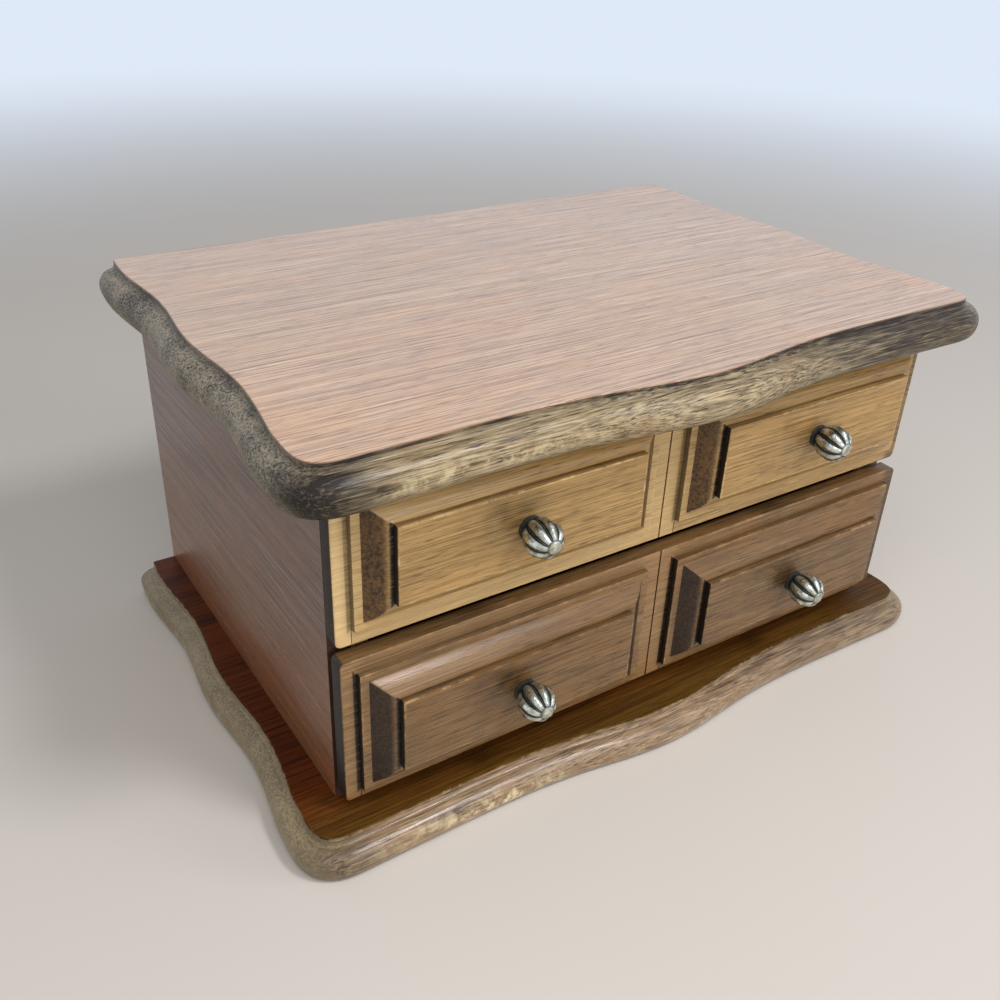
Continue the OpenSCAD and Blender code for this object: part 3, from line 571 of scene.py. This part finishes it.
def panelled_front(name, node, body, finish, *, face_y, zs, fields, corner_low, corner_top, knob_z,
                   rail_pale_and_sheen, knob_shadow_and_mottle, step_stain_and_shade):
    """Board with two raised panels; its outer corners have one radius below and another above."""
    z0, z1 = zs
    half, lip = CASE_W / 2, 0.5
    across, upward = len(ACROSS), len(UPWARD)
    points, faces = [], []

    def strip(rows):
        faces.extend(between(len(rows), len(rows[0]), True, len(points)))
        points.extend(p for row in rows for p in row)

    for side in (-1, 1):
        px0, px1 = (STILE_W - half, -CENTRE_W) if side < 0 else (CENTRE_W, half - STILE_W)
        x0, x1 = (lip - half, 0) if side < 0 else (0, half - lip)
        low, top = corner_low - lip, corner_top - lip
        radii = (low, 0, 0, top) if side < 0 else (0, low, top, 0)
        inner = tuple(max(r - 0.5, 0) for r in radii)
        rows = [panel_loop(x0, x1, z0 + lip, z1 - lip, face_y, radii),
                panel_loop(x0 + 0.5 * (side < 0), x1 - 0.5 * (side > 0), z0 + lip + 0.5, z1 - lip - 0.5, face_y, inner)]
        for wide, tall in ((1.7, 1.2), (1.3, 0.9), (0.5, 0.5)):
            rows.append(panel_loop(px0 - wide, px1 + wide, fields[0] - tall, fields[1] + tall, face_y))
        for share, inset, rise in moulding_rows():
            dx, dz = MOULD_W * share + inset, MOULD_H * share + inset
            rows.append(panel_loop(px0 + dx, px1 - dx, fields[0] + dz, fields[1] - dz, face_y - rise,
                                   (0.35,) * 4 if rise > 2 else (0,) * 4))
        strip(rows)
        # the flat field, in a fine grid
        dx, dz = MOULD_W + 1.4, MOULD_H + 1.4
        faces.extend(between(upward, across, False, len(points)))
        points.extend((px0 + dx + (px1 - px0 - 2 * dx) * s, face_y - FIELD_RISE,
                       fields[0] + dz + (fields[1] - fields[0] - 2 * dz) * t) for t in UPWARD for s in ACROSS)
    # the board's eased edge, and its flat back
    rim = []
    for inset, depth in ((lip, 0), (0.15, 0.15), (0, lip), (0, RAIL_T - 0.3), (0.3, RAIL_T)):
        low, top = corner_low - inset, corner_top - inset
        left = panel_loop(inset - half, 0, z0 + inset, z1 - inset, face_y + depth, (low, 0, 0, top))
        right = panel_loop(0, half - inset, z0 + inset, z1 - inset, face_y + depth, (0, low, top, 0))
        rim.append(left[:across - 1] + right[:2 * across + upward - 2] + left[across + upward - 1:])
    strip(rim)
    faces.append(list(range(len(points) - len(rim[0]), len(points))))
    front = carved(name, points, faces, body, [finish])
    # scored centre line, the saw's run-out below each panel, and the holes for the knobs' screws
    scores = [((-SCORE_W / 2, face_y - 1, z0 - 1), (SCORE_W / 2, face_y + SCORE_DEEP, z1 + 1))]
    for x in (STILE_W - half, CENTRE_W):
        scores.append(((x - RUN_OUT_W, face_y - 1, z0 - 1), (x + 0.02, face_y + RUN_OUT_DEEP, fields[0] + 0.4)))
    cut_away(front, blocks=scores)
    back_y = face_y + RAIL_T
    for radius, y0, y1 in ((SCREW_HEAD_R, back_y - SCREW_HEAD_DEEP, back_y + 1),
                           (SCREW_R, face_y - FIELD_RISE - 1, back_y)):
        cut_away(front, rods=[(x, knob_z, radius, y0, y1) for x in (-KNOB_X, KNOB_X)])
    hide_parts(node)
    mark(front, front_marks(face_y, zs, fields, knob_z, rail_pale_and_sheen, knob_shadow_and_mottle, step_stain_and_shade))
    smooth(front)


# ---------- knobs ----------

def swirled_knob(name, node, x, field_y, z, body, finish):
    """Cast ball with eight twisted lobes round a small boss, a fine rib in each groove, on a flared neck."""
    per_lobe, bands = 26, 44
    around = LOBES * per_lobe
    radius = KNOB_D / 2
    boss, neck = math.radians(BOSS_ANGLE), math.radians(NECK_ANGLE)
    turns = [2 * math.pi * i / around for i in range(around)]
    points, dark = [(x, field_y - KNOB_REACH - radius, z)], [0]
    for j in range(bands + 1):
        polar = math.radians(5 + (NECK_ANGLE - 5) * j / bands)
        for a in turns:
            lobe = abs(math.sin(LOBES * a / 2))
            fade = ramp(polar, boss, 0.14)
            rib = 0.4 * hump(lobe, 0, 0.12)
            dip = 0.035 * hump(polar, boss + 0.03, 0.07)
            uneven = 0.012 * noise.noise(Vector((6 * math.cos(a) + x, 6 * math.sin(a), 9 * polar)))
            # the grooves are cut deeper than in the CAD, and the lobes are a little uneven
            r = radius * (1 - 1.8 * GROOVE * ((1 - lobe) ** 1.1 - rib) * fade - dip + uneven - 0.01)
            turn = a + math.radians(TWIST) * (1 - j / bands)
            out = r * math.sin(polar)
            points.append((x + out * math.cos(turn), field_y - KNOB_REACH - radius * math.cos(polar),
                           z + out * math.sin(turn)))
            # near-black marks: tarnish in the grooves and round the boss, and a painted shade on the back of the ball
            # by the neck
            dark.append(max(1.4 * fade * hump(lobe, 0.27, 0.26), 0.9 * hump(polar, boss + 0.04, 0.06),
                            1.3 * hump(polar, neck, 0.5)))
    # the neck and its foot, as radius and height over the field
    neck_rows = ((2.75, 1.3), (2.7, 1.05), (3.2, 0.9), (3.9, 0.8), (4.15, 0.55), (4.2, 0.2), (4.1, 0))
    for neck_r, stand in neck_rows:
        points.extend((x + neck_r * math.cos(a), field_y - stand, z + neck_r * math.sin(a)) for a in turns)
        # the neck and its foot painted near-black: a painted shade under the ball
        dark.extend([0.95] * around)
    faces = [(0, 1 + (i + 1) % around, 1 + i) for i in range(around)]
    faces += between(bands + 1 + len(neck_rows), around, True, 1)
    faces.append(list(range(len(points) - around, len(points))))
    knob = carved(name, points, faces, body, [finish])
    layer = knob.data.attributes.new("stain_and_shade", "FLOAT", "POINT")
    layer.data.foreach_set("value", [min(d, 1) for d in dark[:len(knob.data.vertices)]])
    smooth(knob, 75)
    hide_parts(node)


# ---------- velvet and felt ----------

def grid_steps(length, edge, step):
    """Places along a side, close together at its rounded ends."""
    inner = max(1, round((length - 2 * edge) / step))
    rim = [0, 0.25 * edge, 0.6 * edge]
    flat = [edge + (length - 2 * edge) * i / inner for i in range(inner + 1)]
    return rim + flat + [length - e for e in reversed(rim)]


def covered_board(name, node, body, finish, *, edge, crown, seed):
    """Velvet drawn over a thin padded board: rounded edges, a slight crown and small dimples."""
    low, high = (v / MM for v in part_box(node))
    size = high - low
    thin = min(range(3), key=lambda k: size[k])
    steps = [grid_steps(size[k], edge, 5) for k in range(3)]
    points, faces = [], []
    for axis in range(3):
        a, b = [k for k in range(3) if k != axis]
        for end in (0, size[axis]):
            faces += between(len(steps[a]), len(steps[b]), False, len(points))
            for s in steps[a]:
                for t in steps[b]:
                    p = Vector((0, 0, 0))
                    p[axis], p[a], p[b] = end, s, t
                    points.append(p)
    shaped = []
    for p in points:
        core = Vector([min(max(p[k], edge), size[k] - edge) for k in range(3)])
        q = core + (p - core).normalized() * edge
        swell = 1
        for k in range(3):
            if k != thin:
                swell *= 1 - abs(2 * p[k] / size[k] - 1) ** 5
        lower = crown * (1 - swell) + 0.1 * crown * noise.noise((p + Vector((seed, 0, 0))) / 9)
        if q[thin] > size[thin] / 2:
            q[thin] -= max(lower, 0)
        elif thin != 2:
            q[thin] += max(lower, 0)
        shaped.append(q + low)
    board = carved(name, shaped, faces, body, [finish])
    smooth(board, 60)
    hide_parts(node)


def ring_roll(number, finish):
    """One stuffed roll of the ring cushion: drawn in at its ends, flat where it sits on its board."""
    low, high = (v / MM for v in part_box("ring_rolls"))
    radius = ROLL_D / 2
    pitch = (high.y - low.y - ROLL_D) / (ROLL_COUNT - 1)
    y, z = low.y + radius + pitch * number, low.z + radius
    length, around = high.x - low.x, 40
    ends = [(0, 0.12), (0, 0.45), (0.15, 0.72), (0.6, 0.88), (1.6, 0.965), (3.2, 0.99)]
    middle = [(5 + (length - 10) * i / 22, 1) for i in range(23)]
    stations = ends + middle + [(length - s, r) for s, r in reversed(ends)]
    points = []
    for along, share in stations:
        for i in range(around):
            a = 2 * math.pi * i / around
            r = radius * share * (0.985 + 0.015 * noise.noise(Vector((along / 9, number * 5, a))))
            height = r * math.sin(a)
            points.append((low.x + along, y + r * math.cos(a), z + (height if height > 0 else height * 1.028)))
    faces = between(len(stations), around, True)
    faces += [list(range(around)), list(range(len(points) - around, len(points)))]
    roll = carved(f"ring_roll_{number + 1}", points, faces, "case", [finish])
    smooth(roll, 60)
    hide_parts("ring_rolls")


def felt_pad(finish):
    """Cut felt under the base, its edge slightly furred."""
    outline = [Vector((p.x, FACE_Y + FELT_IN + p.y * (BODY_D - 2 * FELT_IN) / BODY_D))
               for p in serpentine(BASE_OVER - FELT_IN)]
    middle = Vector((0, FACE_Y + BODY_D / 2))
    rows, count = ((0.6, 0), (0.12, 0.05), (0, 0.35), (0.1, 0.9 * FELT_T), (0.5, FELT_T)), len(outline)
    points = []
    for inset, z in rows:
        for i, p in enumerate(outline):
            fray = 0.12 * (1 + noise.noise(Vector((p.x, p.y, 0)) * 0.9))
            q = p - (p - middle).normalized() * (inset + fray)
            points.append((q.x, q.y, z))
    faces = between(len(rows), count, True)
    faces += [list(range(count)), list(range(len(points) - count, len(points)))]
    pad = carved("felt_under_base", points, faces, "case", [finish])
    smooth(pad, 50)
    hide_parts("base_felt")


# ---------- CAD pieces that keep their shape ----------

def finish_node(node, finish, ease=0.0):
    """Gives a CAD piece its finish, and eases its sharp edges."""
    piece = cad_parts[node]
    piece.data.materials.clear()
    piece.data.materials.append(finish)
    if ease:
        weld = piece.modifiers.new("weld", "WELD")
        weld.merge_threshold = 0.001 * MM
        soften = piece.modifiers.new("ease", "BEVEL")
        soften.width, soften.segments, soften.limit_method = ease * MM, 2, "ANGLE"
        soften.angle_limit = math.radians(50)


# ---------- floor and light ----------

def studio():
    """Pale floor that fades into a pale backdrop, and plain soft light, the key from the front right."""
    backdrop = "#dfe9f7"
    finish, tree = new_finish("pale_floor")
    at = add(tree, "TexCoord").outputs["Object"]
    cloudy = add(tree, "TexNoise", {"Vector": at, "Scale": 3, "Detail": 2})
    tint = blend(tree, cloudy, "#d6d1c9", "#dbd6cf")
    plain = add(tree, "BsdfPrincipled", {"Base Color": tint, "Roughness": 0.8})
    glow = add(tree, "Emission", {"Color": backdrop, "Strength": 1.0})
    away = add(tree, "VectorMath", {0: at}, operation="LENGTH").outputs["Value"]
    far = add(tree, "MapRange", {0: away, 1: 0.45, 2: 1.5}, interpolation_type="SMOOTHSTEP")
    path = add(tree, "LightPath")
    seen = work_out(tree, "ADD", path.outputs["Is Camera Ray"], path.outputs["Is Glossy Ray"], clamp=True)
    fade = work_out(tree, "MULTIPLY", far, seen)
    add(tree, "OutputMaterial", {"Surface": add(tree, "MixShader", {0: fade, 1: plain, 2: glow})})
    mesh = bpy.data.meshes.new("floor")
    mesh.from_pydata([(-6, -6, 0), (6, -6, 0), (6, 6, 0), (-6, 6, 0)], [], [(0, 1, 2, 3)])
    mesh.materials.append(finish)
    floor = bpy.data.objects.new("floor", mesh)
    bpy.context.collection.objects.link(floor)

    # the lamps: place and width in metres, watts and colour
    for name, place, size, power, colour in (
            ("window", (2.0, -1.65, 0.6), 0.9, 23, "#fff6ea"),
            ("ceiling", (0.26, -0.6, 0.95), 0.26, 4.6, "#fbfaff"),
            ("soft_top", (-0.3, -0.35, 0.55), 0.5, 1.45, "#fdf9f4"),
            ("front", (0.36, -1.2, 0.43), 0.9, 2.9, "#fbf9f6")):
        data = bpy.data.lights.new(name, "AREA")
        data.shape, data.size, data.energy, data.color = "DISK", size, power, paint(colour)[:3]
        lamp = bpy.data.objects.new(name, data)
        bpy.context.collection.objects.link(lamp)
        lamp.location = place
        lamp.visible_glossy = name in ("ceiling", "front")
        lamp.rotation_euler = (Vector((0, 0, 0.07)) - Vector(place)).to_track_quat("-Z", "Y").to_euler()

    world = bpy.data.worlds.new("studio")
    bpy.context.scene.world = world
    world.use_nodes = True
    tree = world.node_tree
    tree.nodes.clear()
    path = add(tree, "LightPath")
    seen = work_out(tree, "ADD", path.outputs["Is Camera Ray"], path.outputs["Is Glossy Ray"])
    seen = work_out(tree, "ADD", seen, path.outputs["Is Transmission Ray"], clamp=True)
    around = add(tree, "Background", {"Color": "#f1f1f4", "Strength": 0.38})
    shown = add(tree, "Background", {"Color": backdrop, "Strength": 1.0})
    add(tree, "OutputWorld", {"Surface": add(tree, "MixShader", {0: seen, 1: around, 2: shown})})
    bpy.context.scene.view_settings.view_transform = "Standard"


# ---------- the box ----------

def main():
    set_up_camera()
    studio()

    # Walnut veneer under satin lacquer: fine long streaks, short open pores, and a pale bloom at a low angle
    veneer = stained_wood(
        "lacquered_walnut_veneer", "#e8c5a2", "#8a6650", "#e0a468", "#6a4c36", streak=(50, 0.4), contrast=0.14,
        pore=0.65, gloss=0.36, coat=0.9, patch=0.3, dark="#64462f", ior=1.5, worn_and_sheen="#dcae80")
    # Solid moulding, olive stain: coarse open grain in front, speckled end grain at the sides, black in the cove from
    # stain and painted shade
    lid_nose = stained_wood(
        "olive_stained_lid_moulding", "#baa886", "#4d3e26", "#8f7347", "#9d927c", streak=(14, 0.5), pore=0.95,
        gloss=0.3, coat=0.2, worn_and_sheen="#e2d2a8", end_dark=0.95, dark="#1b120b", end_from=(0.3, 0.6), end_grit=0.5)
    # Dark red-brown stain, nearly matt: the deepest tone of the box, turning olive along the front
    base_top = stained_wood(
        "dark_stained_base", "#602d0e", "#240d03", "#743a11", "#3f2918", streak=(50, 0.8), contrast=0.13,
        gloss=0.4, coat=0.0, dark="#120904", foot=("#6e5422", 1, -0.082, -0.055), ior=1.2)
    # The same moulding as the lid's, paler: stain worn off along its crest, bare wood showing
    base_nose = stained_wood(
        "umber_stained_base_moulding", "#b09778", "#5e4833", "#977248", "#9c8a68", streak=(20, 0.6), pore=0.7,
        gloss=0.24, coat=0.4, worn_and_sheen="#eadcb4", dark="#1a120b", edge_wear=1.0, end_from=(0.3, 0.6), end_grit=0.5)
    # Beech stained honey: even straight grain, pale rails, and end grain on the mouldings that took the stain dark
    fixed_front = stained_wood(
        "honey_stained_beech_front", "#b99861", "#765934", "#ab864d", "#6b4c26", streak=(36, 0.45), contrast=0.14,
        gloss=0.28, coat=0.2, dark="#120b06", worn_and_sheen="#e9cc96", end_dark=0.85, end_from=(0.15, 0.5), end_grit=1.2)
    # The same beech a tone browner, with a painted shadow beside the knobs, and the darkest steps from stain and
    # painted shade
    moving_front = stained_wood(
        "brown_stained_beech_drawer_front", "#866a45", "#4a331e", "#845d33", "#3b2614", streak=(36, 0.45),
        contrast=0.14, pore=0.55, gloss=0.24, dark="#110a06", worn_and_sheen="#cda574", end_dark=0.95, end_from=(0.15, 0.5),
        end_grit=1.2)
    # Flat side panel: mauve lacquer, warmer near the base where a painted reflection of the base's red-brown top is
    # laid in, streaks from front to back
    panel = stained_wood(
        "mauve_stained_side_panel", "#8c7169", "#4a342d", "#86532f", "#4b372a", along="y", streak=(60, 0.8),
        contrast=0.14, pore=0.4, gloss=0.26, coat=0.4, dark="#160d09", foot=("#b0703c", 2, 0.03, 0.12))
    # The back and the lid's underside: one plain coat of stain, little gloss
    back = stained_wood(
        "plain_stained_back_panel", "#80654f", "#5d4736", "#7a583c", "#4b372a", streak=(90, 1.2), pore=0.3,
        gloss=0.4, coat=0.2)
    # Thin strip round the mirror: a light brown line between dark wood and glass
    bead = stained_wood(
        "stained_mirror_bead", "#9a7a52", "#6f5234", "#8a6440", "#5a412a", streak=(50, 0.9), pore=0.4)
    # Bare birch plywood inside: blond, matt, broad faint figure
    birch = stained_wood(
        "birch_plywood", "#d3b98e", "#b99a6d", "#c9a472", "#9c7d54", streak=(60, 1.6), pore=0.15, gloss=0.6,
        coat=0.0, dark="#6a4a2b", worn_and_sheen="#e2cba2")
    # Cotton velvet: soft patches where the pile was brushed, and a lit rim at low angles
    wine_velvet = napped_cloth("wine_red_cotton_velvet", "#4a0b15", "#8a1a2a", 0.6)
    # Wool felt: dark, matt and slightly furry
    green_felt = napped_cloth("dark_green_wool_felt", "#1f3325", "#38543d", 0.3, pile_mm=1.4)
    # Pewter plate on cast zinc: bright lobes with near-black tarnish in the grooves, and a painted shade on the neck
    knob_metal = aged_metal("aged_pewter_plated_zinc", "#e6e9de", "#a9ab98", "#0d0c08", rough=0.27, spot=2.2)
    # Rolled brass: warm yellow with a brown bloom
    hinge_brass = aged_metal("rolled_brass_sheet", "#c9a95c", "#a98a48", "#4a3a1c", rough=0.34)
    # Zinc-plated screws: cool grey with dull spots
    screw_steel = aged_metal("zinc_plated_steel", "#b9bcc0", "#96999c", "#3a3a3a")
    mirror = silvered_glass()
    card = grey_card()

    # lid and base
    lid, lid_crest = moulded_board("lid_moulded", LID_OVER, RIM, LID_T, LID_FOOT, "lid",
                                   [veneer, lid_nose, back])
    mirror_recess = ((-GLASS_W / 2, MIRROR_MID_Y - GLASS_D / 2, RIM - 1),
                     (GLASS_W / 2, MIRROR_MID_Y + GLASS_D / 2, RIM + GLASS_DEEP))
    leaf_recesses = [((x - HINGE_W / 2, BACK_Y - LEAF_D, RIM - 1), (x + HINGE_W / 2, BACK_Y + 1, RIM + LEAF_T))
                     for x in (-HINGE_X, HINGE_X)]
    cut_away(lid, blocks=[mirror_recess, *leaf_recesses])
    dress_board(lid, RIM, LID_T, lid_crest, cove_stain_and_shade=0.9)
    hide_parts("lid_board")
    base, base_crest = moulded_board("base_moulded", BASE_OVER, BASE_LOW, BASE_T, BASE_FOOT, "case",
                                     [base_top, base_nose, back])
    dress_board(base, BASE_LOW, BASE_T, base_crest, cove_stain_and_shade=0.3)
    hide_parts("base_board")

    # fronts and knobs
    upper_knob_z, lower_knob_z = sum(UPPER_FIELD) / 2, sum(DRAWER_FIELD) / 2
    panelled_front("front_fixed", "upper_front", "case", fixed_front, face_y=FACE_Y, zs=UPPER_Z,
                   fields=UPPER_FIELD, corner_low=2.2, corner_top=0.8, knob_z=upper_knob_z,
                   rail_pale_and_sheen=0.45, knob_shadow_and_mottle=0.4, step_stain_and_shade=0.45)
    panelled_front("front_of_drawer", "drawer_front", "drawer", moving_front, face_y=DRAWER_FACE_Y,
                   zs=DRAWER_Z, fields=DRAWER_FIELD, corner_low=1.6, corner_top=2.0, knob_z=lower_knob_z,
                   rail_pale_and_sheen=0.12, knob_shadow_and_mottle=0.65, step_stain_and_shade=0.95)
    for side, x in (("left", -KNOB_X), ("right", KNOB_X)):
        for tier, face_y, z, body in (("upper", FACE_Y, upper_knob_z, "case"),
                                      ("lower", DRAWER_FACE_Y, lower_knob_z, "drawer")):
            swirled_knob(f"swirled_knob_{tier}_{side}", f"knob_{tier}_{side}", x, face_y - FIELD_RISE, z, body,
                         knob_metal)

    # linings
    for seed, (node, edge, crown) in enumerate((
            ("tray_floor_pad", 0.8, 0.5), ("tray_lining_front", 0.7, 0.2), ("tray_lining_back", 0.7, 0.2),
            ("tray_lining_left", 0.7, 0.2), ("tray_lining_right", 0.7, 0.2), ("tray_divider_long", 1.6, 0.3),
            ("tray_divider_short", 1.6, 0.3), ("ring_cushion_board", 1.5, 0.6))):
        covered_board(f"{node}_velvet", node, "case", wine_velvet, edge=edge, crown=crown, seed=seed * 40)
    for seed, (node, edge, crown) in enumerate((("drawer_floor_pad", 0.8, 0.5), ("drawer_divider", 1.6, 0.3))):
        covered_board(f"{node}_velvet", node, "drawer", wine_velvet, edge=edge, crown=crown, seed=400 + seed * 40)
    for number in range(ROLL_COUNT):
        ring_roll(number, wine_velvet)
    felt_pad(green_felt)

    # CAD pieces that stay
    for nodes, finish, ease in (
            (("side_left", "side_right"), panel, 0.5), (("back_panel",), back, 0.4),
            (("case_floor", "shelf", "shelf_cleats", "drawer_side_left", "drawer_side_right", "drawer_back",
              "drawer_floor"), birch, 0.3),
            (("mirror_bead_front", "mirror_bead_back", "mirror_bead_left", "mirror_bead_right"), bead, 0.7),
            (("mirror_glass",), mirror, 0.2), (("mirror_card",), card, 0.1),
            (("hinge_leaves_case", "hinge_leaves_lid"), hinge_brass, 0.12),
            (("base_screws", "knob_screws_upper", "knob_screws_lower", "hinge_screws_case", "hinge_screws_lid",
              "hinge_pins"), screw_steel, 0.1)):
        for node in nodes:
            finish_node(node, finish, ease)


main()
